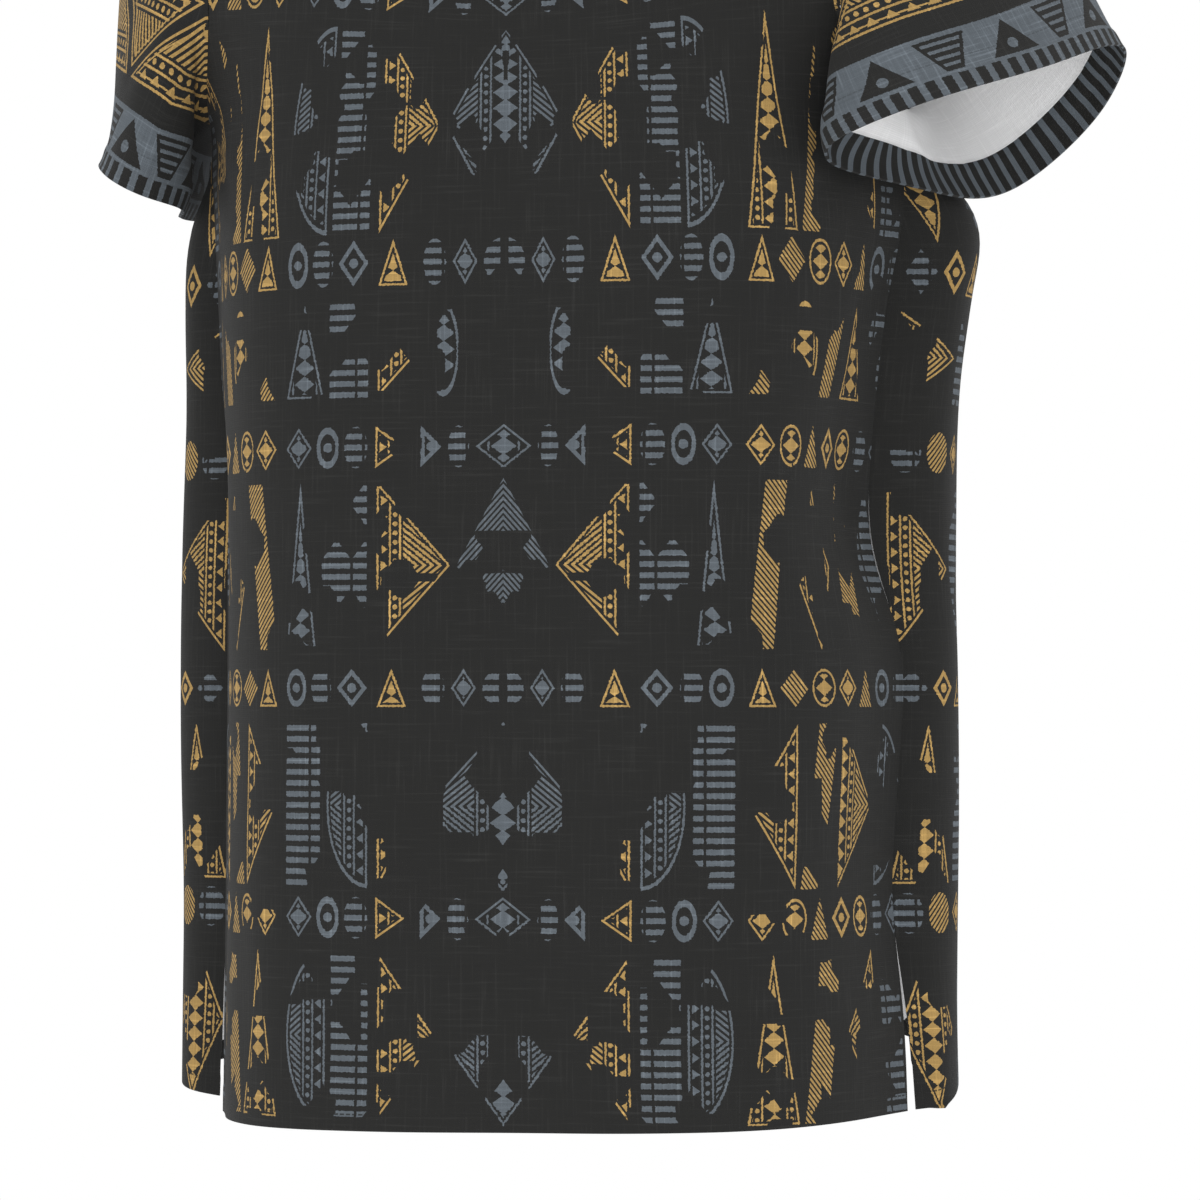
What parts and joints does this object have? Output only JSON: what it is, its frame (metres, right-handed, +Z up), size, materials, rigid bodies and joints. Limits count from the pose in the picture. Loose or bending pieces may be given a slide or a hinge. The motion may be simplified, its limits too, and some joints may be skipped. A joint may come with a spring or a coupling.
{
  "type": "dashiki shirt",
  "caption": "Loose straight pullover tunic with short wide sleeves, V neck and side vents, printed with geometric bands, in its filled-out form.",
  "frame": {"origin": "midway between the two neck points, at the height of the shoulder seams beside the neck, where the wearer holds the garment up", "axes": "+Z up, -Y the front of the garment, +X the wearer's left"},
  "size_m": [0.5887, 0.2642, 0.8109],
  "materials": {
    "front": "matt printed plain weave",
    "back": "matt printed plain weave",
    "left_sleeve": "matt printed plain weave",
    "right_sleeve": "matt printed plain weave",
    "neckband": "matt plain weave, unprinted"
  },
  "bodies": {
    "root": {"front": "front", "back": "back", "left_sleeve": "left_sleeve", "right_sleeve": "right_sleeve", "neckband": "neckband"}
  },
  "joints": []
}
